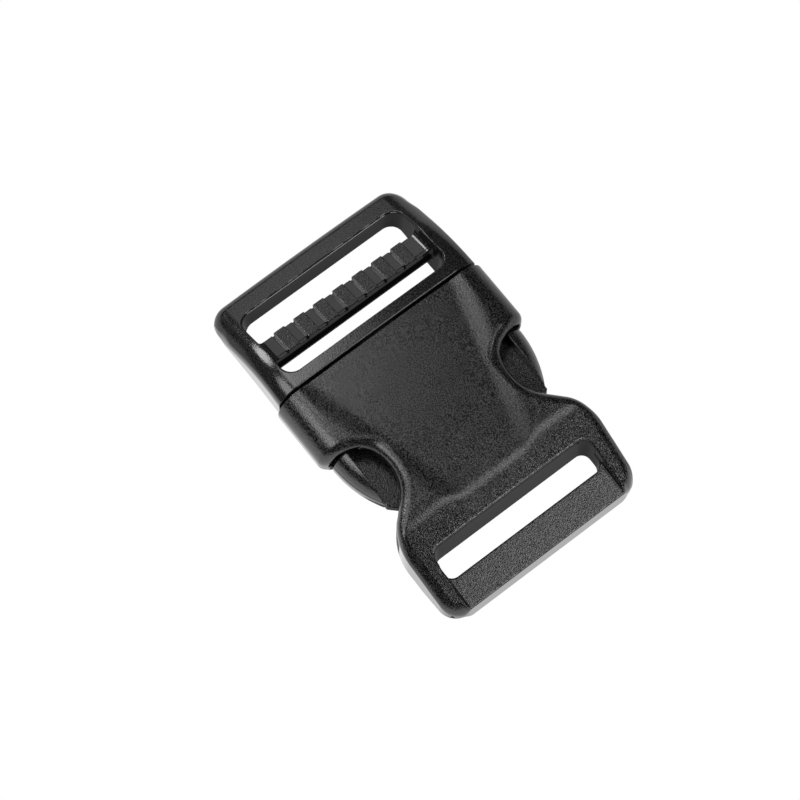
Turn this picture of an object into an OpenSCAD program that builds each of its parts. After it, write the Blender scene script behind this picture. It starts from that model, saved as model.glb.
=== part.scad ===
// Side release buckle for flat webbing, fastened and lying on its underside.
// X runs along the strap, from the plug's end to the socket's end. Z is up.
// The origin is in the middle of the buckle, on the surface that it lies on.

/* [Overall] */
// Width of the webbing that the buckle takes
webbing_w = 25; // [22:0.5:25.5]
// Length from the plug's end to the socket's end
buckle_l = 55.4; // [54:0.2:60]
// Width across the socket's shoulders
shoulder_w = 34.9; // [34.7:0.2:37.5]
// Height of the crown above the surface that the buckle lies on
crown_h = 9.9; // [9.4:0.1:11]
// Radius of the long, nearly flat crown
crown_r = 250; // [180:10:400]
// Height of the hollow under the middle
arch_h = 1.6; // [1:0.1:2]
// Radius of the upper long edges
edge_r = 4; // [3:0.1:4.4]
// Radius of the lower long edges
keel_r = 3; // [2:0.1:3.4]
// Running gap between the plug and the socket
fit_gap = 0.3; // [0.2:0.05:0.4]

/* [Plug frame] */
// Length of the plug's frame outside the socket
frame_l = 17.8; // [17.4:0.1:19]
// Width of the frame at its free end
frame_end_w = 33.6; // [33:0.1:34.6]
// Radius of the frame's corners in plan
frame_corner_r = 4.5; // [3:0.25:5.5]
// Radius of the frame's nose in side view
nose_r = 2.1; // [1.8:0.1:2.3]
// Distance from the neck's face to where the frame's top starts to fall
frame_flat_l = 5.9; // [4:0.1:8]
// Slope of the frame's top towards its free end, in degrees
frame_slope = 28; // [24:1:30]
// Width of the bar at the free end
end_bar_l = 3.6; // [3:0.1:4.2]
// Width of the neck beside the socket
neck_l = 1.9; // [1.5:0.1:2.5]
// Step from the socket's shoulders in to the neck, on each side
neck_step = 0.1; // [0.05:0.05:0.3]
// Radius of the rim's corners in plan
rim_r = 2; // [1:0.1:2.5]
// Play of the webbing at each end of the frame's slots
rim_play = 1.6; // [1.2:0.1:1.8]

/* [Ladder bar] */
// Clear length of the outer slot
outer_slot_l = 4.9; // [4.5:0.1:5.1]
// Width of the ladder bar
ladder_l = 3.7; // [3.3:0.1:4]
// Height of the low blocks at the bar's outer edge
ladder_h = 5.3; // [5:0.1:5.6]
// Slope of the ladder's top, in degrees
ladder_slope = 19; // [14:1:22]
// Thickness of the ladder bar
ladder_t = 3.2; // [2.6:0.1:3.3]
// Number of raised blocks
tooth_n = 7; // [5:1:9]
// Height of a raised block above a low one
tooth_h = 0.35; // [0.25:0.05:0.5]
// Share of the pitch that a raised block takes
tooth_share = 0.54; // [0.4:0.02:0.6]
// Depth of the wall over the ledge on the ladder's inner side
ledge_drop = 1.2; // [0.8:0.1:1.4]
// Width of the ledge on the ladder's inner side
ledge_l = 0.45; // [0.2:0.05:0.6]

/* [Arms] */
// Thickness of each spring arm
arm_w = 2; // [1.6:0.1:2.2]
// Height of each spring arm
arm_h = 3.2; // [2.6:0.1:3.8]
// Gap between a shoulder's end and a pad's locking face
lock_gap = 1.3; // [0.4:0.1:1.4]
// Length of the thumb pads
pad_l = 9.3; // [9:0.1:9.5]
// Distance of the pads' straight inner faces from the middle
pad_y = 13.7; // [13.3:0.1:13.9]
// Distance of the pads' outermost points from the middle
pad_out = 16; // [15.8:0.1:16.4]
// Radius of the pads' outer sides in plan
pad_r = 17; // [16:0.5:20]
// Thickness of the web beside each pad
web_t = 1.3; // [1:0.1:1.6]
// Height of the webs' top over the arms' lower edge
web_h = 2.1; // [1.8:0.1:2.6]
// Distance of the webs' inner edges from the middle
web_y = 9.2; // [8.4:0.1:9.6]
// Width of the middle guide
guide_w = 7; // [5:0.5:9]
// Length of the middle guide inside the socket
guide_l = 12; // [8:0.5:16]

/* [Socket body] */
// Length of the shoulders
shoulder_l = 9.7; // [9.4:0.1:9.9]
// Radius of the shoulders' corners in plan
shoulder_r = 1.2; // [0.6:0.1:1.6]
// Thickness of the walls over and under the hollow
wall_t = 1.25; // [1:0.05:1.4]
// Thickness of the side walls at the mouth
side_t = 3; // [2.8:0.1:3.1]
// Length of the side windows from the shoulders' ends
window_l = 12.1; // [12:0.1:12.6]
// Distance of the hollow's end behind the windows
hollow_back = 0.8; // [0.4:0.1:1.5]
// Radius of the finger scoops
scoop_r = 6.8; // [6.5:0.1:7]
// Distance of the scoops' middle from the shoulders' ends
scoop_x = 6.2; // [6:0.1:6.4]
// Half width of the body between the scoops
waist_y = 10.5; // [10.3:0.1:10.8]
// Angle of the flare behind the waist, in degrees
flare_a = 45; // [42:1:48]
// Width of the bevel round each scoop
scoop_bevel = 1; // [0.5:0.1:1.2]
// Depth of the two soft valleys in the top
valley_d = 0.3; // [0.1:0.05:0.4]
// Distance of the valleys from the middle at the mouth
valley_mouth_y = 12; // [11:0.1:13]
// Distance of the valleys from the middle at the crease
valley_crease_y = 6; // [5:0.1:8]
// Radius of the valleys' round floor
valley_r = 9; // [6:0.5:14]

/* [Strap end] */
// Distance from the crease in the top to the socket's end
crease_l = 12.9; // [12.7:0.1:13.3]
// Slope of the top from the crease to the end, in degrees
strap_slope = 25; // [22:0.5:26]
// Width across the cheeks where the flare ends
cheek_w = 33.6; // [33:0.1:34.4]
// Radius of the cheeks' corners behind the waist
cheek_r = 2; // [1:0.1:2.6]
// Width across the cheeks at the end
end_w = 31.8; // [31.4:0.1:33]
// Radius of the end's corners in plan
end_corner_r = 3.2; // [2:0.2:4]
// Clear length of the strap slot along the strap
strap_slot_l = 4.3; // [4.2:0.1:4.6]
// Play of the webbing at each end of the strap slot
strap_play = 0.8; // [0.5:0.1:1]
// Radius of the strap slot's corners
strap_slot_r = 1.4; // [0.8:0.1:1.8]
// Width of the end bar
strap_bar_l = 4.5; // [4.1:0.1:4.8]
// Height of the end bar at the socket's end
strap_bar_h = 3.3; // [3:0.1:3.6]
// Slope of the end bar's top, in degrees
strap_bar_slope = 8; // [4:1:10]

/* [Hidden] */

big = 90;
eps = 0.01;
arc_step = 6;
drum_fn = 720;
round_fn = 64;
disc_fn = 180;
// How far the ladder bar reaches into the frame's sides
ladder_root = 1;
// How far a cut runs out past the surface that it opens
past = 1;

plug_x = -buckle_l / 2;
end_x = buckle_l / 2;
face_x = plug_x + frame_l;
mouth_x = face_x + fit_gap;
shoulder_x = mouth_x + shoulder_l;
crease_x = end_x - crease_l;
fall_x = face_x - frame_flat_l;
keel_end_x = end_x - nose_r;
under_r = (keel_end_x * keel_end_x + arch_h * arch_h) / (2 * arch_h);

// Height of the crown's top line and of the underside at a place along the buckle
function crown_z(x) = crown_h - crown_r + sqrt(crown_r * crown_r - x * x);
function under_z(x) = arch_h - under_r + sqrt(under_r * under_r - x * x);

// Rounds the corners of an outline whose rows are x, y and the corner's radius
function unit(v) = v / norm(v);
function corner(p, q, s, r) = let (
        u = unit(p - q),
        v = unit(s - q),
        half = acos(u * v) / 2,
        middle = q + unit(u + v) * r / sin(half),
        from = q + u * r / tan(half) - middle,
        turn = cross(u, v) > 0 ? -1 : 1,
        sweep = turn * (180 - 2 * half),
        n = ceil(abs(sweep) / arc_step)
    ) r == 0 ? [q] : [for (i = [0:n])
        let (a = sweep * i / n)
        middle + [from.x * cos(a) - from.y * sin(a), from.x * sin(a) + from.y * cos(a)]];
function xy(row) = [row.x, row.y];
function rounded(rows) = let (n = len(rows)) [for (i = [0:n - 1])
    each corner(xy(rows[(i + n - 1) % n]), xy(rows[i]), xy(rows[(i + 1) % n]), rows[i].z)];
// Adds the mirror image of an outline's rows on the other side of the X axis
function both_sides(rows) = concat(rows, [for (i = [len(rows) - 1:-1:0])
    [rows[i].x, -rows[i].y, rows[i].z]]);

// Upright prism over an outline
module prism(points) {
    translate([0, 0, -big / 2]) linear_extrude(big) polygon(points);
}

// Section across the buckle, in Y and Z, with its top at zero and round upper corners
module top_section(w, r) {
    translate([-w / 2, -big / 2]) square([w, big / 2 - r]);
    translate([r - w / 2, -big / 2]) square([w - 2 * r, big / 2]);
    for (s = [-1, 1]) translate([s * (w / 2 - r), -r]) circle(r, $fn = round_fn);
}

// Everything under a sloping plane through one point, with round long edges
module under_slope(x, z, slope, w, r) {
    translate([x, 0, z]) rotate([0, slope, 0]) rotate([90, 0, 90])
        linear_extrude(2 * big, center = true) top_section(w, r);
}

// Everything under the long crown, sunk by a wall's thickness where one is given
module under_crown(w, r, sink = 0) {
    radius = crown_r - sink;
    translate([0, 0, crown_h - crown_r]) rotate([90, 0, 0])
        rotate_extrude($fn = drum_fn) union() {
            translate([0, -w / 2]) square([radius - r, w]);
            translate([0, r - w / 2]) square([radius, w - 2 * r]);
            for (s = [-1, 1]) translate([radius - r, s * (w / 2 - r)]) circle(r, $fn = round_fn);
        }
}

// What lies under the buckle's arched underside, with the round lower edges left on the buckle
module below_arch(w, r) {
    translate([0, 0, arch_h - under_r]) rotate([90, 0, 0])
        rotate_extrude($fn = drum_fn) difference() {
            translate([0, -big / 2]) square([under_r + r, big]);
            translate([under_r, r - w / 2]) square([big, w - 2 * r]);
            for (s = [-1, 1]) translate([under_r + r, s * (w / 2 - r)]) circle(r, $fn = round_fn);
        }
}

// Plain round arch that lies a wall's thickness inside the underside
module inner_arch() {
    translate([0, 0, arch_h - under_r]) rotate([90, 0, 0])
        cylinder(h = big, r = under_r + wall_t, center = true, $fn = drum_fn);
}

module above_ground() {
    translate([-big / 2, -big / 2, 0]) cube(big);
}

// Plug: frame, ladder bar, arms with pads and webs, guide

rim_y = webbing_w / 2 + rim_play;
rim_x0 = plug_x + end_bar_l;
rim_x1 = face_x - neck_l;
neck_w = shoulder_w - 2 * neck_step;
frame_plan = both_sides([[face_x, neck_w / 2, 0], [plug_x, frame_end_w / 2, frame_corner_r]]);
rim_plan = both_sides([[rim_x1, rim_y, rim_r], [rim_x0, rim_y, rim_r]]);

// The frame's outer form, filled
module frame_form() {
    difference() {
        intersection() {
            under_crown(shoulder_w, edge_r);
            under_slope(fall_x, crown_z(fall_x), -frame_slope, shoulder_w, edge_r);
            prism(rounded(frame_plan));
            nose();
            above_ground();
        }
        below_arch(shoulder_w, keel_r);
    }
}

// Rounds the free end in side view
module nose() {
    rotate([90, 0, 0]) linear_extrude(big, center = true) union() {
        translate([plug_x + nose_r, -big / 2]) square(big);
        translate([plug_x + nose_r, nose_r]) circle(nose_r, $fn = round_fn);
    }
}

ladder_x0 = rim_x0 + outer_slot_l;
ladder_x1 = ladder_x0 + ladder_l;
ladder_rise = ladder_l * tan(ladder_slope);
tooth_pitch = webbing_w / (tooth_n + 1 - tooth_share);
tooth_w = tooth_pitch * tooth_share;
ramp_r = rim_play;

// The ladder bar in side view, tall enough for the ramps at its ends
module ladder_side() {
    low0 = ladder_h;
    low1 = ladder_h + ladder_rise;
    polygon([[ladder_x0, low0 - ladder_t], [ladder_x0, crown_h], [ladder_x1, crown_h],
        [ladder_x1, low1 - ledge_drop], [ladder_x1 + ledge_l, low1 - 2 * ledge_drop],
        [ladder_x1, low1 - ladder_t]]);
}

// The webbing's way over the ladder: a flat floor with a round ramp at each end
module ladder_trough() {
    translate([ladder_x0, 0, ladder_h]) rotate([0, -ladder_slope, 0]) rotate([90, 0, 90])
        linear_extrude(3 * ladder_l, center = true) union() {
            translate([-webbing_w / 2, 0]) square([webbing_w, big]);
            translate([-webbing_w / 2 - ramp_r, ramp_r]) square([webbing_w + 2 * ramp_r, big]);
            for (s = [-1, 1]) translate([s * webbing_w / 2, ramp_r]) circle(ramp_r, $fn = round_fn);
        }
}

module teeth() {
    length = ladder_l / cos(ladder_slope);
    first = -webbing_w / 2 + tooth_pitch - tooth_w;
    translate([ladder_x0, 0, ladder_h]) rotate([0, -ladder_slope, 0])
        for (i = [0:tooth_n - 1])
            translate([0, first + i * tooth_pitch, -tooth_h])
                cube([length, tooth_w, 2 * tooth_h]);
}

module ladder_bar() {
    difference() {
        rotate([90, 0, 0]) linear_extrude(2 * (rim_y + ladder_root), center = true) ladder_side();
        ladder_trough();
    }
    teeth();
}

lock_x = shoulder_x + lock_gap;
pad_end_x = lock_x + pad_l;
reach_x = max(-mouth_x, pad_end_x);
arm_z0 = arch_h + wall_t + fit_gap;
arm_z1 = crown_z(reach_x) - wall_t - fit_gap;
arm_y = shoulder_w / 2 - side_t - fit_gap;
window_x = shoulder_x + window_l;
web_x1 = window_x - fit_gap;

// Box between two corners, on both sides of the middle
module both_boxes(x0, x1, y0, y1, z0, z1) {
    for (s = [-1, 1]) translate([x0, s > 0 ? y0 : -y1, z0])
        cube([x1 - x0, y1 - y0, z1 - z0]);
}

// Thumb pads, each a piece of a disc with a straight inner side
module pads() {
    for (s = [-1, 1]) translate([0, 0, arm_z0]) linear_extrude(arm_z1 - arm_z0)
        intersection() {
            translate([lock_x, s > 0 ? pad_y : -pad_y - big]) square([pad_l, big]);
            translate([lock_x, s * (pad_out - pad_r)]) circle(pad_r, $fn = disc_fn);
        }
}

// Webs that close the windows beside and behind the pads
module webs() {
    web_out = pad_y + eps;
    nose_y = web_out - (web_x1 - pad_end_x);
    for (s = [-1, 1]) translate([0, 0, arm_z0 + web_h - web_t]) linear_extrude(web_t)
        polygon([[shoulder_x, s * web_y], [web_x1, s * web_y], [web_x1, s * nose_y],
            [pad_end_x, s * web_out], [shoulder_x, s * web_out]]);
}

module arms() {
    both_boxes(face_x - eps, lock_x + lock_gap, arm_y - arm_w, arm_y, arm_z0, arm_z0 + arm_h);
    pads();
    webs();
}

module guide() {
    translate([face_x - eps, -guide_w / 2, arm_z0])
        cube([fit_gap + guide_l, guide_w, arm_z1 - arm_z0]);
}

module plug() {
    color("#262626") {
        intersection() {
            frame_form();
            union() {
                difference() {
                    prism([[-big, -big], [big, -big], [big, big], [-big, big]]);
                    prism(rounded(rim_plan));
                }
                ladder_bar();
            }
        }
        arms();
        guide();
    }
}

// Socket: body with shoulders, hollow, scoops and windows, strap end with slot and end bar

scoop_y = waist_y + scoop_r;
scoop_inner_y = waist_y + scoop_r / 2;
scoop_cx = shoulder_x + scoop_x;
flare_x = scoop_cx + scoop_r * sin(flare_a);
flare_y = scoop_y - scoop_r * cos(flare_a);
cheek_x = flare_x + (cheek_w / 2 - flare_y) / tan(flare_a);
slot_x1 = end_x - strap_bar_l;
slot_x0 = slot_x1 - strap_slot_l;
slot_mid_x = slot_x1 - strap_slot_l / 2;
slot_y = webbing_w / 2 + strap_play;
slot_bar_r = strap_slot_r / 2;

body_plan = both_sides([[mouth_x, shoulder_w / 2, 0], [shoulder_x, shoulder_w / 2, shoulder_r],
    [shoulder_x, scoop_inner_y, 0], [flare_x, flare_y, 0],
    [cheek_x, cheek_w / 2, cheek_r], [end_x, end_w / 2, end_corner_r]]);
slot_plan = both_sides([[slot_x1, slot_y, slot_bar_r], [slot_x0, slot_y, strap_slot_r]]);

// A round finger scoop through each side, bevelled above and below
module scoops() {
    for (s = [-1, 1]) translate([scoop_cx, s * scoop_y, 0]) {
        cylinder(h = big, r = scoop_r, center = true, $fn = disc_fn);
        translate([0, 0, crown_z(scoop_cx) - scoop_bevel])
            cylinder(h = 2 * scoop_bevel, r1 = scoop_r, r2 = scoop_r + 2 * scoop_bevel, $fn = disc_fn);
        translate([0, 0, under_z(scoop_cx) - scoop_bevel])
            cylinder(h = 2 * scoop_bevel, r1 = scoop_r + 2 * scoop_bevel, r2 = scoop_r, $fn = disc_fn);
    }
}

// Space inside the body, open at the mouth and through both side windows
module hollow() {
    plan = both_sides([[mouth_x - past, shoulder_w / 2 - side_t, 0],
        [shoulder_x, shoulder_w / 2 - side_t, 0], [shoulder_x, big / 3, 0],
        [window_x, big / 3, 0], [window_x, waist_y, 0], [window_x + hollow_back, waist_y, 0]]);
    difference() {
        intersection() {
            under_crown(big, 0, wall_t);
            prism([for (row = plan) xy(row)]);
        }
        inner_arch();
    }
}

// Two shallow valleys in the top that set the middle panel off from the shoulders
module valleys() {
    run = [crease_x - mouth_x, valley_mouth_y - valley_crease_y];
    for (s = [-1, 1]) translate([mouth_x, s * valley_mouth_y, crown_z(mouth_x) + valley_r - valley_d])
        rotate([0, 90, -s * atan2(run.y, run.x)])
            translate([0, 0, -2 * past]) cylinder(h = norm(run) + 2 * past, r = valley_r, $fn = disc_fn);
}

// Lowers the end bar between the cheeks
module bar_recess() {
    intersection() {
        translate([end_x, 0, strap_bar_h]) rotate([0, strap_bar_slope, 0])
            translate([-big, -big / 2, 0]) cube([2 * big, big, big]);
        translate([slot_mid_x, -slot_y, 0]) cube([big, 2 * slot_y, big]);
    }
}

module socket() {
    color("#2b2b2b") difference() {
        intersection() {
            under_crown(shoulder_w, edge_r);
            under_slope(crease_x, crown_z(crease_x), strap_slope, shoulder_w, edge_r);
            prism(rounded(body_plan));
            above_ground();
        }
        below_arch(shoulder_w, keel_r);
        scoops();
        hollow();
        valleys();
        prism(rounded(slot_plan));
        bar_recess();
    }
}

plug();
socket();
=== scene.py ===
"""Side release buckle: two moulded pieces with rounded edges and grain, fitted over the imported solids."""

import math

import bpy
import numpy as np
from mathutils import Matrix, Vector


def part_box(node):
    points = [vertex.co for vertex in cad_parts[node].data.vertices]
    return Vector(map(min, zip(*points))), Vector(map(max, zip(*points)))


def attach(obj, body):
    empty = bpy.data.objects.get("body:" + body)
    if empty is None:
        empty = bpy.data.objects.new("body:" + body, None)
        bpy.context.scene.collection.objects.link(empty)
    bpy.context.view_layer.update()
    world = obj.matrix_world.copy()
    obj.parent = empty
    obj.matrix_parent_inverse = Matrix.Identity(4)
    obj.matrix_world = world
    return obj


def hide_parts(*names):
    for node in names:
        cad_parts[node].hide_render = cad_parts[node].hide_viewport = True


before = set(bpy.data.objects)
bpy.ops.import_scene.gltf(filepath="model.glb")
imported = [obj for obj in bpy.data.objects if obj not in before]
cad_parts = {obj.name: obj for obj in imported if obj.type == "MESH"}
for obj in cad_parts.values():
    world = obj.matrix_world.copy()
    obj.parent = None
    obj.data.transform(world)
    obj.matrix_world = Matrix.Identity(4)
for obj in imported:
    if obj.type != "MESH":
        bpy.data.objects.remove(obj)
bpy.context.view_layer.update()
MM = 0.001

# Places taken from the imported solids, in millimetres
PLUG_LOW, PLUG_HIGH = (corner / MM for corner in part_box("plug"))
SOCKET_LOW, SOCKET_HIGH = (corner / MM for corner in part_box("socket"))
PLUG_X = PLUG_LOW.x
MOUTH_X = SOCKET_LOW.x
END_X = SOCKET_HIGH.x
CROWN_H = SOCKET_HIGH.z
SHOULDER_Y = SOCKET_HIGH.y
FIT_GAP = 0.3
NECK_PLAY = 0.05
FACE_X = MOUTH_X - FIT_GAP - NECK_PLAY

# Sizes in millimetres and radians. The last letter says what a size is: R radius, W width, L length,
# H height, D depth, T thickness, X, Y and Z a place on that axis, and A an angle. SOFT is the width of
# a blend, DRAFT the slant of a moulded wall, KEEL an edge of the underside.

# Outer form
CROWN_R = 250
CROSS_R = 300
ARCH_H = 1.6
FOOT_L = 2.1
ARCH_R = ((END_X - FOOT_L) ** 2 + ARCH_H**2) / (2 * ARCH_H)
EDGE_R = 4
KEEL_R = 3
# The share of those two edges that ends at the scoops
EDGE_FADE = 0.9

# Plug frame
FRAME_END_Y = 16.75
FRAME_SIDE_Y = 16.87
FRAME_WAIST = 0.15
FRAME_CORNER_R = 3.1
FRAME_SLOPE = math.radians(28)
FRAME_FALL_SOFT = 1.8
FRAME_EDGE_R = 0.4
NOSE_R = 1.2
NOSE_L = 3
FRAME_KEEL_R = 1.8
NECK_EDGE_R = 0.15
FALL_X = FACE_X - 5.9
RIM_X0 = PLUG_X + 3.6
RIM_X1 = FACE_X - 1.8
RIM_Y = 13.9
RIM_R = 2
RIM_EDGE_R = 0.12
RIM_END_DRAFT = 0.075
RIM_SIDE_DRAFT = 0.03
RIM_LEDGE = 0.12
RIM_LEDGE_DEPTH = 0.55
RIM_LEDGE_SOFT = 0.1

# Ladder bar
LADDER_X0 = RIM_X0 + 4.95
LADDER_X1 = LADDER_X0 + 3.7
LADDER_H = 5.3
LADDER_BOTTOM = 2.1
LADDER_SLOPE = math.radians(19)
LADDER_EDGE_R = 0.15
LADDER_ROOT_R = 0.6
LADDER_KEEL_R = 0.5
LADDER_DRAFT = 0.1
LADDER_INSET = 1
TROUGH_Y = 14.3
TROUGH_R = 1.9
WEBBING_W = 25
TOOTH_N = 7
TOOTH_SHARE = 0.54
TOOTH_H = 0.45
TOOTH_ROOT = 1
TOOTH_EDGE_R = 0.08
GROOVE_W = 0.3
GROOVE_D = 0.4
TOOTH_PITCH = WEBBING_W / (TOOTH_N + 1 - TOOTH_SHARE)
TOOTH_W = TOOTH_PITCH * TOOTH_SHARE
LEDGE_W = 0.45
LEDGE_DROP = 1.2
LEDGE_UNDERCUT = 0.8
LEDGE_ROOT = 0.5
LEDGE_LIFT = 0.3

# Arms inside the socket
SHOULDER_X = MOUTH_X + 10.3
LOCK_X = SHOULDER_X + 0.12
PAD_L = 9.15
PAD_Y = 13.7
PAD_OUT = 16.15
PAD_R = 17
PAD_TOP = 7.9
PAD_BOTTOM = 3.15
PAD_EDGE_R = 3.2
PAD_FRONT_R = 0.3
PAD_KEEL_R = 1
PAD_INNER_R = 0.2
PAD_LIP = 0.06
PAD_LIP_H = 2.3
PAD_LIP_SOFT = 0.05
ARM_Y = 14.15
ARM_W = 2
ARM_TOP = 6.35
ARM_FALL_L = 4
ARM_EDGE_R = 0.3
ARM_ROOT = 1
ARM_INTO_PAD = 1.5
WEB_TOP = 5.45
WEB_T = 1.3
WEB_Y = 9.2
WEB_X0 = SHOULDER_X - 3
WEB_X1 = SHOULDER_X + 10.95
WEB_INTO_PAD = 0.1
WEB_CORNER = math.radians(45)
WEB_EDGE_R = 0.2
WEB_JOIN_R = 0.06
GUIDE_Y = 3.5
GUIDE_L = 12
GUIDE_EDGE_R = 0.4

# Socket
CREASE_X = END_X - 12.9
CREASE_SOFT = 0.35
STRAP_SLOPE = math.radians(25)
BEHIND_X = SHOULDER_X + 1
SHOULDER_EDGE_R = 2.3
MOUTH_EDGE_R = 0.12
SCOOP_R = 6.8
SCOOP_X = SHOULDER_X + 5.45
SCOOP_Y = 10.5 + SCOOP_R
SCOOP_EDGE_R = 1.6
SCOOP_KEEL_R = 0.8
FLARE_KEEL_R = 2.6
SCOOP_CORNER_R = 2.5
FLARE_A = math.radians(45)
FLARE_OVERLAP = 2
FLARE_X = SCOOP_X + SCOOP_R * math.sin(FLARE_A)
FLARE_Y = SCOOP_Y - SCOOP_R * math.cos(FLARE_A)
CHEEK_Y = 16.9
CHEEK_X = FLARE_X + (CHEEK_Y - FLARE_Y) / math.tan(FLARE_A)
CHEEK_R = 2.4
CHEEK_L = 3
CHEEK_KEEL_R = 0.2
CHEEK_KEEL_X = CHEEK_X + 1
CHEEK_KEEL_L = 12
CHEEK_DRAFT = 0.05
END_DRAFT = 0.06
CHEEK_END_Y = 16.15
END_CORNER_R = 3
WALL_T = 1.7
SIDE_T = 3
RELIEF_T = 1.1
RELIEF_L = 2.5
RELIEF_Z = 5
PLAN_FREE = 3
CUT_FREE = 2
WINDOW_X = SHOULDER_X + 11.25
HOLLOW_X1 = WINDOW_X + 0.8
HOLLOW_R = 0.4
ROOM_R = 0.5
MOUTH_INNER_R = 0.15
SLOT_X1 = END_X - 4.7
SLOT_X0 = SLOT_X1 - 4.2
SLOT_Y = 13.3
SLOT_R = 1.4
SLOT_EDGE_R = 0.3
SLOT_DRAFT = 0.03
SLOT_DEEPEST = 10
BAR_Y0 = SLOT_Y - 0.5
BAR_Y1 = SLOT_Y + 1
BAR_END_H = 3.3
BAR_END_R = 0.25
BAR_SLOPE = math.radians(8)
BAR_EDGE_R = 0.3
VALLEY_D = 0.35
VALLEY_W = 3.2
VALLEY_SOFT = 0.4
VALLEY_MOUTH_Y = 12
VALLEY_CREASE_Y = 5
# How far the panel's sides run on past the crease, as a share of its length
VALLEY_RUN_ON = 1.2


# Signed distances in millimetres: below zero is inside a solid

def meet(a, b, r):
    """What lies inside both, with an edge of radius r where their surfaces cross."""
    return np.minimum(np.maximum(a, b), -r) + np.hypot(np.maximum(a + r, 0), np.maximum(b + r, 0))


def join(a, b, r):
    """Both together, with a fillet of radius r between them."""
    return -meet(-a, -b, r)


def meet_softly(a, b, k):
    """What lies inside both, where the surfaces cross at a shallow angle and blend over a width k."""
    return np.maximum(a, b) + np.maximum(k - abs(a - b), 0) ** 2 / (4 * k)


def cut(a, b, r):
    """The first without the second, with an edge of radius r."""
    return meet(a, -b, r)


def slab(v, low, high):
    """The space between two parallel planes."""
    return np.maximum(low - v, v - high)


def rounded_box(u, v, half_u, half_v, r):
    """A rectangle about the origin with corners of radius r."""
    qu, qv = abs(u) - half_u + r, abs(v) - half_v + r
    return np.hypot(np.maximum(qu, 0), np.maximum(qv, 0)) + np.minimum(np.maximum(qu, qv), 0) - r


def under(u, v, at_u, at_v, angle):
    """Under a line through a point, whose outward side is turned by angle from +V towards +U."""
    return (u - at_u) * math.sin(angle) + (v - at_v) * math.cos(angle)


def smooth_step(v, low, high):
    """A soft rise from 0 at low to 1 at high."""
    t = np.clip((v - low) / (high - low), 0, 1)
    return t * t * (3 - 2 * t)


def crown(x, z, sink=0.0):
    """Everything under the long top arc, in from it by sink."""
    return np.hypot(x, z - CROWN_H + CROWN_R) - CROWN_R + sink


def crown_z(x):
    """Height of the top arc."""
    return CROWN_H - CROWN_R + np.sqrt(CROWN_R**2 - x * x)


def arch(x, z, sink=0.0):
    """Everything above the arched underside, in from it by sink."""
    return ARCH_R + sink - np.hypot(x, z - ARCH_H + ARCH_R)


def top_z(x):
    """Height of the top line over the whole buckle."""
    frame_top = crown_z(FALL_X) + (x - FALL_X) * math.tan(FRAME_SLOPE)
    strap_top = crown_z(CREASE_X) - (x - CREASE_X) * math.tan(STRAP_SLOPE)
    return np.minimum(crown_z(x), np.minimum(frame_top, strap_top))


def section(x, y, z, top, share=1):
    """The long form between its top and the arched underside, with round long edges."""
    side = abs(y) - SHOULDER_Y
    upper = meet(side, top, EDGE_R * share)
    lower = meet(side, arch(x, z), KEEL_R * share)
    return np.maximum(np.maximum(upper, lower), -z)


# The plug

def frame_plan(x, y):
    """The frame's plan: a round outer end and sides with a slight waist."""
    share = (x - PLUG_X) / (FACE_X - PLUG_X)
    side = abs(y) - FRAME_END_Y - (FRAME_SIDE_Y - FRAME_END_Y) * share
    side = side + 4 * FRAME_WAIST * share * (1 - share)
    return meet(side, PLUG_X - x, FRAME_CORNER_R)


def frame_form(x, y, z):
    """The frame's outer form, whose top falls towards its outer end."""
    lifted = z + y * y / (2 * CROSS_R)
    slope = under(x, lifted, FALL_X, crown_z(FALL_X), -FRAME_SLOPE)
    top = meet_softly(crown(x, lifted), slope, FRAME_FALL_SOFT)
    edge_r = NOSE_R + (FRAME_EDGE_R - NOSE_R) * smooth_step(x, PLUG_X + NOSE_L, PLUG_X + 2 * NOSE_L)
    plan = frame_plan(x, y)
    form = meet(plan, section(x, y, z, top), edge_r)
    form = np.maximum(form, meet(plan, np.maximum(arch(x, z), -z), FRAME_KEEL_R))
    return meet(form, x - FACE_X, NECK_EDGE_R)


def rim(x, y, z):
    """The opening through the frame, with a narrow step under its edge and walls that draw in downwards."""
    depth = top_z(x) - z
    below_edge = smooth_step(depth, RIM_LEDGE_DEPTH - RIM_LEDGE_SOFT, RIM_LEDGE_DEPTH + RIM_LEDGE_SOFT)
    step = RIM_LEDGE * below_edge
    half_x = (RIM_X1 - RIM_X0) / 2 - RIM_SIDE_DRAFT * depth - step
    half_y = RIM_Y - RIM_END_DRAFT * depth - step
    return rounded_box(x - (RIM_X0 + RIM_X1) / 2, y, half_x, half_y, RIM_R)


def ladder_height(x, z):
    """Height above the ladder bar's sloping top."""
    return under(x, z, LADDER_X0, LADDER_H, -LADDER_SLOPE)


def troughed_bar(y, z, above, length):
    """The bar under the blocks, with a round ramp at each end."""
    bar = meet(length, LADDER_BOTTOM - z, LADDER_KEEL_R)
    qy, qh = abs(y) - TROUGH_Y + TROUGH_R, TROUGH_R - above
    trough = np.hypot(np.maximum(qy, 0), np.maximum(qh, 0)) + np.minimum(np.maximum(qy, qh), 0) - TROUGH_R
    return cut(bar, trough, LADDER_EDGE_R)


def ladder_ledge(x, z):
    """The lower ledge along the bar's inner side."""
    top = LADDER_H + (LADDER_X1 - LADDER_X0) * math.tan(LADDER_SLOPE) - LEDGE_DROP
    upper = under(x, z, LADDER_X1, top, math.atan(LEDGE_DROP / LEDGE_W))
    lower = -under(x, z, LADDER_X1 + LEDGE_W, top - LEDGE_DROP, math.atan(-LEDGE_UNDERCUT / LEDGE_W))
    ledge = meet(upper, lower, LADDER_EDGE_R)
    return np.maximum(ledge, np.maximum(LADDER_X1 - LEDGE_ROOT - x, LADDER_BOTTOM + LEDGE_LIFT - z))


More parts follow.
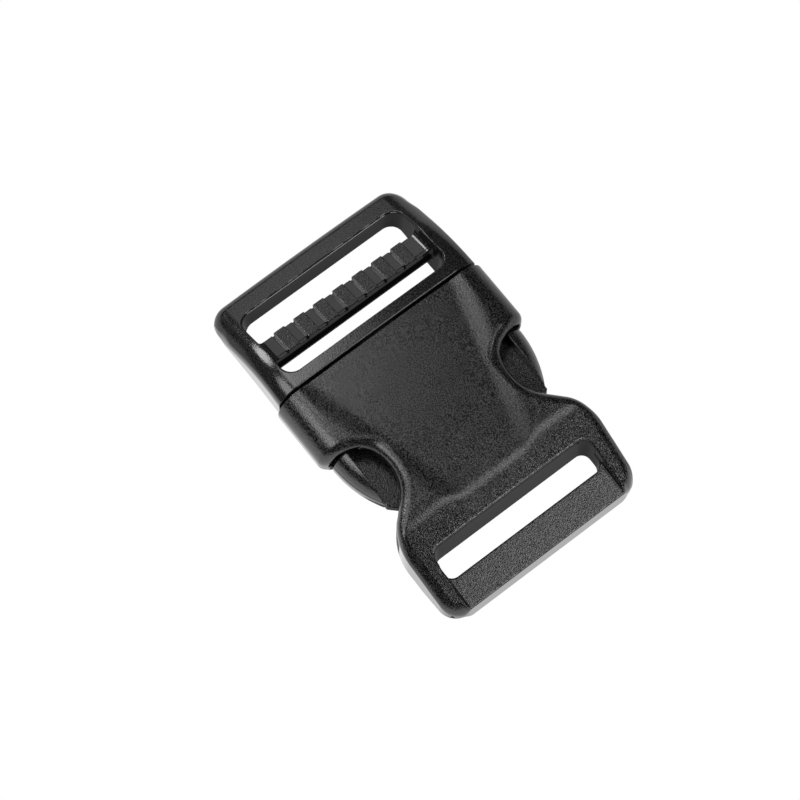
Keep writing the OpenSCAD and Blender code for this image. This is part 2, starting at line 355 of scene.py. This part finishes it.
def ladder(x, y, z):
    """The ladder bar: raised blocks, each with a groove beside it, and a ledge on the inner side."""
    above = ladder_height(x, z)
    length = meet(LADDER_X0 + LADDER_DRAFT * (LADDER_H - z) - x, x - LADDER_X1, LADDER_EDGE_R)
    turn = np.clip(np.round(y / TOOTH_PITCH), -(TOOTH_N // 2), TOOTH_N // 2)
    from_tooth = y - turn * TOOTH_PITCH
    tooth = meet(abs(from_tooth) - TOOTH_W / 2, above - TOOTH_H, TOOTH_EDGE_R)
    tooth = meet(np.maximum(tooth, -above - TOOTH_ROOT), length, TOOTH_EDGE_R)
    from_groove = from_tooth + TOOTH_W / 2 + GROOVE_W / 2
    groove = np.maximum(abs(from_groove) - GROOVE_W / 2, -above - GROOVE_D)
    bar = np.maximum(troughed_bar(y, z, above, length), -groove)
    return np.minimum(np.minimum(bar, tooth), ladder_ledge(x, z))


def pad(x, y, z):
    """A thumb pad: a piece of a disc, rounded from its top to its outer side, with a lip half-way up."""
    above = smooth_step(z - PAD_BOTTOM - PAD_LIP_H, -PAD_LIP_SOFT, PAD_LIP_SOFT)
    outer = np.hypot(x - LOCK_X, abs(y) - PAD_OUT + PAD_R) - PAD_R + PAD_LIP * above
    form = meet(np.maximum(outer, x - LOCK_X - PAD_L), z - PAD_TOP, PAD_EDGE_R)
    form = meet(form, PAD_BOTTOM - z, PAD_KEEL_R)
    form = meet(form, LOCK_X - x, PAD_FRONT_R)
    return meet(form, PAD_Y - abs(y), PAD_INNER_R)


def spring_arm(x, y, z):
    """An arm from the frame to its pad, lower at the pad."""
    top = WEB_TOP + (ARM_TOP - WEB_TOP) * smooth_step(SHOULDER_X - x, 0, ARM_FALL_L)
    arm = meet(slab(abs(y), ARM_Y - ARM_W, ARM_Y), slab(z, PAD_BOTTOM, top), ARM_EDGE_R)
    return np.maximum(arm, slab(x, FACE_X - ARM_ROOT, LOCK_X + ARM_INTO_PAD))


def web(x, y, z):
    """The thin web on the inner side of a pad, with its rear corner cut off."""
    plan = np.maximum(slab(abs(y), WEB_Y, PAD_Y + WEB_INTO_PAD), slab(x, WEB_X0, WEB_X1))
    plan = np.maximum(plan, under(x, abs(y), LOCK_X + PAD_L, PAD_Y, WEB_CORNER))
    return meet(plan, slab(z, WEB_TOP - WEB_T, WEB_TOP), WEB_EDGE_R)


def middle_guide(x, y, z):
    """The guide between the arms, which keeps the plug straight in the socket."""
    guide = meet(abs(y) - GUIDE_Y, slab(z, PAD_BOTTOM, PAD_TOP), GUIDE_EDGE_R)
    return meet(guide, slab(x, FACE_X - ARM_ROOT, MOUTH_X + GUIDE_L), GUIDE_EDGE_R)


def arms(x, y, z):
    """Everything of the plug that is inside the socket."""
    pads = join(pad(x, y, z), web(x, y, z), WEB_JOIN_R)
    return np.minimum(np.minimum(pads, spring_arm(x, y, z)), middle_guide(x, y, z))


def plug_field(x, y, z):
    """The whole plug."""
    form = frame_form(x, y, z)
    ring = cut(form, rim(x, y, z), RIM_EDGE_R)
    bar = np.maximum(ladder(x, y, z), form + LADDER_INSET)
    return np.minimum(join(ring, bar, LADDER_ROOT_R), arms(x, y, z))


# The socket

def body_plan(x, y, z):
    """The body's plan with its scoops, flares and cheeks. The section bounds the shoulders' sides."""
    w = abs(y)
    front = np.maximum(w - SHOULDER_Y - PLAN_FREE, x - FLARE_X - FLARE_OVERLAP)
    taper = math.atan((CHEEK_Y - CHEEK_END_Y) / (END_X - CHEEK_X))
    cheek = under(x, w + CHEEK_DRAFT * (z - BAR_END_H), CHEEK_X, CHEEK_Y, taper)
    cheek = meet(cheek, x - END_X + END_DRAFT * z, END_CORNER_R)
    cheek = meet(cheek, under(x, w, FLARE_X, FLARE_Y, -FLARE_A), CHEEK_R)
    return np.maximum(np.minimum(front, cheek), -scoop(x, y))


def scoop(x, y):
    """A finger scoop: part of a circle from the shoulder's end to the flare, open to the side."""
    w = abs(y)
    circle = np.hypot(x - SCOOP_X, w - SCOOP_Y) - SCOOP_R
    short_of_flare = under(x, w, FLARE_X, FLARE_Y, FLARE_A) < 0
    inner = np.where(short_of_flare, circle, -under(x, w, FLARE_X, FLARE_Y, -FLARE_A))
    return meet(np.minimum(inner, SCOOP_Y - w), SHOULDER_X - x, SCOOP_CORNER_R)


def socket_top(x, y, z):
    """Under the top, with a panel sunk a little between its shoulders and a slope to the strap end."""
    run = np.clip((x - MOUTH_X) / (CREASE_X - MOUTH_X), 0, VALLEY_RUN_ON)
    panel_y = VALLEY_MOUTH_Y + (VALLEY_CREASE_Y - VALLEY_MOUTH_Y) * run
    valley = VALLEY_D * (1 - smooth_step(abs(y) - panel_y, -VALLEY_SOFT, VALLEY_W))
    lift = y * y / (2 * CROSS_R)
    flat = 1 - smooth_step(x, CREASE_X, END_X)
    slope = under(x, z + lift * flat, CREASE_X, crown_z(CREASE_X), STRAP_SLOPE)
    return meet_softly(crown(x, z + lift) + valley, slope, CREASE_SOFT)


def hollow(x, y, z):
    """The room inside the body, open at the mouth and at the two side windows."""
    room = meet(crown(x, z, WALL_T), arch(x, z, WALL_T), ROOM_R)
    inside = np.maximum(abs(y) - SHOULDER_Y + SIDE_T, x - HOLLOW_X1)
    window = slab(x, SHOULDER_X, WINDOW_X)
    plan = np.maximum(np.minimum(inside, window), MOUTH_X - CUT_FREE - x)
    return np.minimum(meet(plan, room, HOLLOW_R), shoulder_relief(x, y, z))


def shoulder_relief(x, y, z):
    """A thinner wall inside the shoulders' ends."""
    form = section(x, y, z, crown(x, z + y * y / (2 * CROSS_R)))
    length = slab(x, SHOULDER_X - RELIEF_L, BEHIND_X)
    return np.maximum(length, np.maximum(form + RELIEF_T, RELIEF_Z - z))


def strap_slot(x, y, z):
    """The slot for the webbing, drawn in downwards."""
    draw = SLOT_DRAFT * np.clip(top_z(x) - z, 0, SLOT_DEEPEST)
    half_x, half_y = (SLOT_X1 - SLOT_X0) / 2, SLOT_Y
    return rounded_box(x - SLOT_X0 - half_x, y, half_x - draw, half_y - draw, SLOT_R)


def bar_recess(x, y, z):
    """What is taken off the end bar's top between the cheeks."""
    above = -under(x, z, END_X, BAR_END_H, BAR_SLOPE)
    return np.maximum(meet(above, abs(y) - SLOT_Y, BAR_EDGE_R), SLOT_X1 - CUT_FREE - x)


def top_edge_r(x, y, behind):
    """Radius of the top edge: large on the shoulders, smaller round the scoops, small on the end bar."""
    bar = smooth_step(x, CHEEK_X, CHEEK_X + CHEEK_L) * (1 - smooth_step(abs(y), BAR_Y0, BAR_Y1))
    r = SHOULDER_EDGE_R + (SCOOP_EDGE_R - SHOULDER_EDGE_R) * behind
    return r + (BAR_END_R - r) * bar


def bottom_edge_r(x):
    """Radius of the bottom edge: larger from the scoops to the flares, small along the cheeks."""
    r = SCOOP_KEEL_R + (FLARE_KEEL_R - SCOOP_KEEL_R) * smooth_step(x, SCOOP_X, FLARE_X)
    return r + (CHEEK_KEEL_R - r) * smooth_step(x, CHEEK_KEEL_X, CHEEK_X + CHEEK_KEEL_L)


def socket_field(x, y, z):
    """The whole socket."""
    plan = body_plan(x, y, z)
    behind = smooth_step(x, BEHIND_X, SCOOP_X)
    outside = section(x, y, z, socket_top(x, y, z), 1 - EDGE_FADE * behind)
    form = meet(plan, outside, top_edge_r(x, y, behind))
    form = np.maximum(form, meet(plan, np.maximum(arch(x, z), -z), bottom_edge_r(x)))
    form = meet(form, MOUTH_X - x, MOUTH_EDGE_R)
    form = cut(form, hollow(x, y, z), MOUTH_INNER_R)
    form = cut(form, strap_slot(x, y, z), SLOT_EDGE_R)
    return cut(form, bar_recess(x, y, z), BAR_EDGE_R)


# Meshes from the signed distances

# Stretches of the grids along X, Y and Z: start, end and step in millimetres
PLUG_GRID = (((PLUG_X - 0.5, MOUTH_X, 0.11), (MOUTH_X, WEB_X1 + 0.6, 0.2)),
             ((-17.7, 17.8, 0.1),), ((-0.4, 10.4, 0.11),))
SOCKET_GRID = (((MOUTH_X - 0.5, END_X + 0.6, 0.16),), ((-17.9, 18.0, 0.16),), ((-0.4, 10.4, 0.14),))
MOST_TRIANGLES = 190000
SHARP_COSINE = math.cos(math.radians(32))
SETTLE_TURNS = 4
SPREAD_TURNS = 2
SPREAD_SHARE = 0.6
LEAST_GRADIENT = 0.25
LONGEST_MOVE = 0.1
PROBE_REACH = 0.02


def ticks(stretches):
    """Grid places along an axis."""
    parts = [np.arange(start, end, step) for start, end, step in stretches]
    return np.concatenate(parts).astype(np.float32)


def crossings(values, places, axis):
    """The grid edges along one axis that cross the surface, and where they cross it."""
    low = np.take(values, range(values.shape[axis] - 1), axis)
    high = np.take(values, range(1, values.shape[axis]), axis)
    found = np.argwhere((low < 0) != (high < 0))
    at = tuple(found.T)
    share = low[at] / (low[at] - high[at])
    points = np.stack([places[i][found[:, i]] for i in range(3)], 1).astype(np.float64)
    step = places[axis][found[:, axis] + 1] - places[axis][found[:, axis]]
    points[:, axis] += share * step
    return found, points, low[at] < 0


def surface_net(field, grid):
    """One point in each grid cell that the surface passes through, joined into quads."""
    places = [ticks(stretches) for stretches in grid]
    values = field(places[0][:, None, None], places[1][None, :, None], places[2][None, None, :])
    values = np.broadcast_to(values, [len(p) for p in places]).astype(np.float32)
    shape = values.shape
    flat_cells, sums, quads_of_cells = [], [], []
    for axis in range(3):
        found, points, leaving = crossings(values, places, axis)
        one, two = (axis + 1) % 3, (axis + 2) % 3
        around = []
        for step_one, step_two in ((0, 0), (1, 0), (1, 1), (0, 1)):
            cell = found.copy()
            cell[:, one] -= step_one
            cell[:, two] -= step_two
            around.append(np.ravel_multi_index(cell.T, shape))
            flat_cells.append(around[-1])
            sums.append(points)
        ring = np.stack(around, 1)
        ring[~leaving] = ring[~leaving][:, ::-1]
        quads_of_cells.append(ring)
    cells, index = np.unique(np.concatenate(flat_cells), return_inverse=True)
    sums = np.concatenate(sums)
    count = np.bincount(index)
    verts = np.stack([np.bincount(index, sums[:, i]) / count for i in range(3)], 1)
    quads = np.searchsorted(cells, np.concatenate(quads_of_cells))
    return verts, quads


def slope_of(field, points):
    """The field's value and its gradient at each point."""
    gradient = np.empty_like(points)
    for i in range(3):
        step = np.zeros(3)
        step[i] = PROBE_REACH
        ahead, behind = (points + step).T, (points - step).T
        gradient[:, i] = (field(*ahead) - field(*behind)) / (2 * PROBE_REACH)
    return field(*points.T), gradient


def settle(field, verts, quads):
    """Spreads the points evenly and sets them on the surface."""
    ends = np.concatenate([quads[:, [i, (i + 1) % 4]] for i in range(4)])
    count = np.bincount(ends[:, 0], minlength=len(verts))[:, None]
    for turn in range(SETTLE_TURNS):
        if turn < SPREAD_TURNS:
            sums = [np.bincount(ends[:, 0], verts[ends[:, 1], i], len(verts)) for i in range(3)]
            verts = verts + SPREAD_SHARE * (np.stack(sums, 1) / count - verts)
        value, gradient = slope_of(field, verts)
        size = np.maximum((gradient**2).sum(1), LEAST_GRADIENT)
        verts = verts - np.clip(value / size, -LONGEST_MOVE, LONGEST_MOVE)[:, None] * gradient
    return verts


def normals_of(field, verts):
    """The surface's direction at each point, from the field."""
    gradient = slope_of(field, verts)[1]
    return gradient / np.maximum(np.linalg.norm(gradient, axis=1), 1e-6)[:, None]


def corner_normals(mesh, normals):
    """The field's normal at each face's corners, or the face's own where the two differ at a sharp edge."""
    corners = np.empty(len(mesh.loops), dtype=np.int64)
    mesh.loops.foreach_get("vertex_index", corners)
    flat = np.empty(3 * len(mesh.polygons))
    mesh.polygons.foreach_get("normal", flat)
    flat = np.repeat(flat.reshape(-1, 3), 3, axis=0)
    smooth = normals[corners]
    sharp = (smooth * flat).sum(1) < SHARP_COSINE
    return np.where(sharp[:, None], flat, smooth)


def thinned(verts, quads, most):
    """Fewer triangles where the surface is flat."""
    mesh = bpy.data.meshes.new("fine")
    mesh.from_pydata(verts.tolist(), [], quads.tolist())
    fine = bpy.data.objects.new("fine", mesh)
    bpy.context.scene.collection.objects.link(fine)
    thin = fine.modifiers.new("thin", "DECIMATE")
    thin.ratio = min(1, most / (2 * len(quads)))
    thin.use_collapse_triangulate = True
    result = fine.evaluated_get(bpy.context.evaluated_depsgraph_get()).to_mesh()
    points = np.empty(3 * len(result.vertices))
    result.vertices.foreach_get("co", points)
    corners = np.empty(len(result.loops), dtype=np.int64)
    result.loops.foreach_get("vertex_index", corners)
    bpy.data.objects.remove(fine)
    bpy.data.meshes.remove(mesh)
    return points.reshape(-1, 3), corners.reshape(-1, 3)


def moulded_piece(name, field, grid, node, material, grain):
    """Builds a piece from its field, with the field's own normals, and puts it in the node's place."""
    verts, quads = surface_net(field, grid)
    verts = settle(field, verts, quads)
    verts, faces = thinned(verts, quads, MOST_TRIANGLES)
    normals = normals_of(field, verts)
    mesh = bpy.data.meshes.new(name)
    mesh.from_pydata((verts * MM).tolist(), [], faces.tolist())
    mesh.validate()
    mesh.polygons.foreach_set("use_smooth", [True] * len(mesh.polygons))
    values = mesh.attributes.new("grain", "FLOAT", "POINT").data
    values.foreach_set("value", grain(verts, normals).astype(np.float32))
    mesh.normals_split_custom_set(corner_normals(mesh, normals).tolist())
    mesh.materials.append(material)
    piece = bpy.data.objects.new(name, mesh)
    bpy.context.scene.collection.objects.link(piece)
    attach(piece, "root")
    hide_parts(node)
    return piece


# Materials

GRAIN_SIZE = 0.17
NOISE_MEAN = 0.5
GRAIN_DEPTH = 0.04
GRAIN_ROUGHNESS = 0.04
# The base colour's speckle: painted shade in the grain's pits and a painted sheen on its peaks
SPECKLE_SPAN = 0.08
SPECKLE_PEAK = 3
PLASTIC_IOR = 1.48
BLACK = (0.009, 0.009, 0.0093)
PLUG_ROUGHNESS = 0.13
SOCKET_ROUGHNESS = 0.11
ARM_GRAIN = 0.8
FRAME_GRAIN = 0.3
GAP_GRAIN = 0.1
BLOCK_SOFT = 0.2
TOP_FACE = (0.3, 0.7)
BLOCK_RISE = (0.3 * TOOTH_H, 0.7 * TOOTH_H)


def node_tree(name):
    """A new material with its nodes and links."""
    material = bpy.data.materials.new(name)
    material.use_nodes = True
    return material, material.node_tree.nodes, material.node_tree.links


def subtracted(nodes, links, value, amount):
    """A value less a fixed amount."""
    less = nodes.new("ShaderNodeMath")
    less.operation = "SUBTRACT"
    less.inputs[1].default_value = amount
    links.new(value, less.inputs[0])
    return less.outputs["Value"]


def multiplied(nodes, links, one, other):
    """The product of two values."""
    product = nodes.new("ShaderNodeMath")
    product.operation = "MULTIPLY"
    links.new(one, product.inputs[0])
    links.new(other, product.inputs[1])
    return product.outputs["Value"]


def speckled_sheen_and_pit_shade(nodes, links, grain, base):
    """The base colour, darker in the grain's pits and lighter on its peaks: painted shade in the pits and a
    painted sheen on the peaks, over the grain's own random tone.
    """
    speckle = nodes.new("ShaderNodeMapRange")
    speckle.data_type = "FLOAT_VECTOR"
    sockets = {socket.identifier: socket for socket in speckle.inputs}
    sockets["From_Min_FLOAT3"].default_value = (-SPECKLE_SPAN / 2,) * 3
    sockets["From_Max_FLOAT3"].default_value = (SPECKLE_SPAN,) * 3
    sockets["To_Min_FLOAT3"].default_value = (0, 0, 0)
    sockets["To_Max_FLOAT3"].default_value = tuple(SPECKLE_PEAK * c for c in base)
    links.new(grain, sockets["Vector"])
    return speckle.outputs["Vector"]


def plastic(name, base, roughness):
    """Black moulded plastic with a fine spark grain where the mould has it: speckles and shallow pits. The
    speckles are the grain's own tone with painted shade in its pits and a painted sheen on its peaks.
    """
    material, nodes, links = node_tree(name)
    shader = nodes["Principled BSDF"]
    shader.inputs["IOR"].default_value = PLASTIC_IOR
    place = nodes.new("ShaderNodeTexCoord")
    noise = nodes.new("ShaderNodeTexNoise")
    noise.inputs["Scale"].default_value = 1 / (GRAIN_SIZE * MM)
    noise.inputs["Detail"].default_value = 1
    links.new(place.outputs["Object"], noise.inputs["Vector"])
    mask = nodes.new("ShaderNodeAttribute")
    mask.attribute_name = "grain"
    centred = subtracted(nodes, links, noise.outputs["Fac"], NOISE_MEAN)
    grain = multiplied(nodes, links, centred, mask.outputs["Fac"])
    # Base colour with the speckle's painted shade in the pits and painted sheen on the peaks
    links.new(speckled_sheen_and_pit_shade(nodes, links, grain, base), shader.inputs["Base Color"])
    matt = nodes.new("ShaderNodeMapRange")
    matt.inputs["To Min"].default_value = roughness
    matt.inputs["To Max"].default_value = roughness + GRAIN_ROUGHNESS
    links.new(mask.outputs["Fac"], matt.inputs["Value"])
    links.new(matt.outputs["Result"], shader.inputs["Roughness"])
    bump = nodes.new("ShaderNodeBump")
    bump.inputs["Distance"].default_value = GRAIN_DEPTH * MM
    links.new(grain, bump.inputs["Height"])
    links.new(bump.outputs["Normal"], shader.inputs["Normal"])
    return material


def facing_up(normals):
    """1 on top faces and 0 on walls, with a soft change between."""
    return smooth_step(normals[:, 2], *TOP_FACE)


def plug_grain(verts, normals):
    """Light grain on the frame's top, full grain on the ladder's blocks and little between them."""
    x, y, z = verts.T
    on_bar = smooth_step(x, LADDER_X0, LADDER_X0 + BLOCK_SOFT)
    on_bar = on_bar * (1 - smooth_step(x, LADDER_X1 - BLOCK_SOFT, LADDER_X1)) * (abs(y) < RIM_Y)
    block = smooth_step(ladder_height(x, z), *BLOCK_RISE)
    off_bar = np.where(x > MOUTH_X, ARM_GRAIN, FRAME_GRAIN)
    return facing_up(normals) * (off_bar * (1 - on_bar) + (GAP_GRAIN + (1 - GAP_GRAIN) * block) * on_bar)


def socket_grain(verts, normals):
    """Full grain on every top face."""
    return facing_up(normals)


def floor_material(name, glow):
    """White where the camera sees it, with a glow of its own for what the object mirrors; where that glow
    is low, it is painted shade on the floor.
    """
    material, nodes, links = node_tree(name)
    shader = nodes["Principled BSDF"]
    shader.inputs["Base Color"].default_value = (FLOOR_GREY, FLOOR_GREY, FLOOR_GREY, 1)
    shader.inputs["Roughness"].default_value = 1
    shader.inputs["Specular IOR Level"].default_value = 0
    shader.inputs["Emission Color"].default_value = (1, 1, 1, 1)
    shader.inputs["Emission Strength"].default_value = glow
    white = nodes.new("ShaderNodeEmission")
    path = nodes.new("ShaderNodeLightPath")
    mix = nodes.new("ShaderNodeMixShader")
    links.new(path.outputs["Is Camera Ray"], mix.inputs["Fac"])
    links.new(shader.outputs["BSDF"], mix.inputs[1])
    links.new(white.outputs["Emission"], mix.inputs[2])
    links.new(mix.outputs["Shader"], nodes["Material Output"].inputs["Surface"])
    return material


# Stage: floor, camera and light

FLOOR_HALF = 1.5
FLOOR_GREY = 0.1
# Glow of each floor field in what the object mirrors: the far fields hold painted shade, and the shade
# field under the buckle holds a painted shadow
FLOOR_GLOWS = {"floor_near": 1.5, "floor_far_painted_shade": 0.6, "floor_shade": 0.15}
# The floor's fields: one row for each step from -X to +X, and in a row from -Y to +Y
FLOOR_FIELDS = (("floor_far_painted_shade", "floor_far_painted_shade", "floor_far_painted_shade"),
                ("floor_near", "floor_shade", "floor_far_painted_shade"),
                ("floor_near", "floor_near", "floor_near"))
SHADE_INSET = 0.4
WORLD_GLOW = 0.06
CAMERA_AZIMUTH = 52.11
CAMERA_ELEVATION = 71.57
CAMERA_ROLL = 0.16
CAMERA_DISTANCE = 431.6
CAMERA_LENS = 141.1
AIM_RIGHT = -3.08
AIM_UP = 0.71
SENSOR_W = 36
BOX_DISTANCE = 0.8
# Round soft boxes: name, azimuth and elevation in degrees, size in metres, power in watts
SOFT_BOXES = (
    ("back_box", 135, 69.3, 0.32, 1.35),
    ("low_right_box", 103.2, 29.2, 0.32, 2.2),
    ("left_box", -83.7, 63.1, 0.352, 1.38),
    ("side_box", -100.9, 26.4, 0.4, 0.44),
    ("low_left_box", -69.4, 31.3, 0.32, 2.8),
    ("front_box", -18.4, 50.8, 0.48, 3.0),
)


def direction(azimuth, elevation):
    """From the origin towards a place round the object: azimuth 0 is on the -Y side, 90 on the +X side."""
    a, e = math.radians(azimuth), math.radians(elevation)
    return Vector((math.sin(a) * math.cos(e), -math.cos(a) * math.cos(e), math.sin(e)))


def add_camera():
    """The camera at the photograph's angle."""
    data = bpy.data.cameras.new("camera")
    data.lens = CAMERA_LENS
    data.sensor_width = SENSOR_W
    camera = bpy.data.objects.new("camera", data)
    back = direction(CAMERA_AZIMUTH, CAMERA_ELEVATION)
    right = Vector((0, 0, 1)).cross(back).normalized()
    up = back.cross(right)
    aim = (right * AIM_RIGHT + up * AIM_UP) * MM
    turn = Matrix((right, up, back)).transposed() @ Matrix.Rotation(math.radians(CAMERA_ROLL), 3, "Z")
    camera.matrix_world = Matrix.Translation(aim + back * CAMERA_DISTANCE * MM) @ turn.to_4x4()
    bpy.context.scene.collection.objects.link(camera)
    bpy.context.scene.camera = camera


def add_soft_box(name, azimuth, elevation, size, power):
    """A round soft box that faces the buckle."""
    data = bpy.data.lights.new(name, "AREA")
    data.shape = "DISK"
    data.size = size
    data.energy = power
    light = bpy.data.objects.new(name, data)
    back = direction(azimuth, elevation)
    light.location = back * BOX_DISTANCE
    light.rotation_euler = back.to_track_quat("Z", "Y").to_euler()
    bpy.context.scene.collection.objects.link(light)


def add_floor():
    """A wide pale floor: brightest on the near sides, with painted shade on the far sides and a painted
    shadow of the buckle in the middle, all only in what the object mirrors.
    """
    xs = (-FLOOR_HALF, (PLUG_X + SHADE_INSET) * MM, (END_X - SHADE_INSET) * MM, FLOOR_HALF)
    side = (FRAME_END_Y - SHADE_INSET) * MM
    ys = (-FLOOR_HALF, -side, side, FLOOR_HALF)
    mesh = bpy.data.meshes.new("floor")
    fields = [(i * 4 + j, i * 4 + j + 4, i * 4 + j + 5, i * 4 + j + 1) for i in range(3) for j in range(3)]
    mesh.from_pydata([(x, y, 0) for x in xs for y in ys], [], fields)
    for name, glow in FLOOR_GLOWS.items():
        mesh.materials.append(floor_material(name, glow))
    kinds = list(FLOOR_GLOWS)
    for polygon, kind in zip(mesh.polygons, sum(FLOOR_FIELDS, ())):
        polygon.material_index = kinds.index(kind)
    floor = bpy.data.objects.new("floor", mesh)
    bpy.context.scene.collection.objects.link(floor)


def add_world():
    """White where the camera sees it, dim for the light that falls on the object."""
    world = bpy.data.worlds.new("studio")
    world.use_nodes = True
    nodes, links = world.node_tree.nodes, world.node_tree.links
    background = nodes["Background"]
    background.inputs["Color"].default_value = (1, 1, 1, 1)
    path = nodes.new("ShaderNodeLightPath")
    strength = nodes.new("ShaderNodeMapRange")
    strength.inputs["To Min"].default_value = WORLD_GLOW
    links.new(path.outputs["Is Camera Ray"], strength.inputs["Value"])
    links.new(strength.outputs["Result"], background.inputs["Strength"])
    bpy.context.scene.world = world


add_camera()
add_floor()
add_world()
for box in SOFT_BOXES:
    add_soft_box(*box)
bpy.context.scene.view_settings.view_transform = "Standard"

plug_plastic = plastic("plug_plastic", BLACK, PLUG_ROUGHNESS)
socket_plastic = plastic("socket_plastic", BLACK, SOCKET_ROUGHNESS)
plug = moulded_piece("plug_moulding", plug_field, PLUG_GRID, "plug", plug_plastic, plug_grain)
socket = moulded_piece("socket_moulding", socket_field, SOCKET_GRID, "socket", socket_plastic, socket_grain)
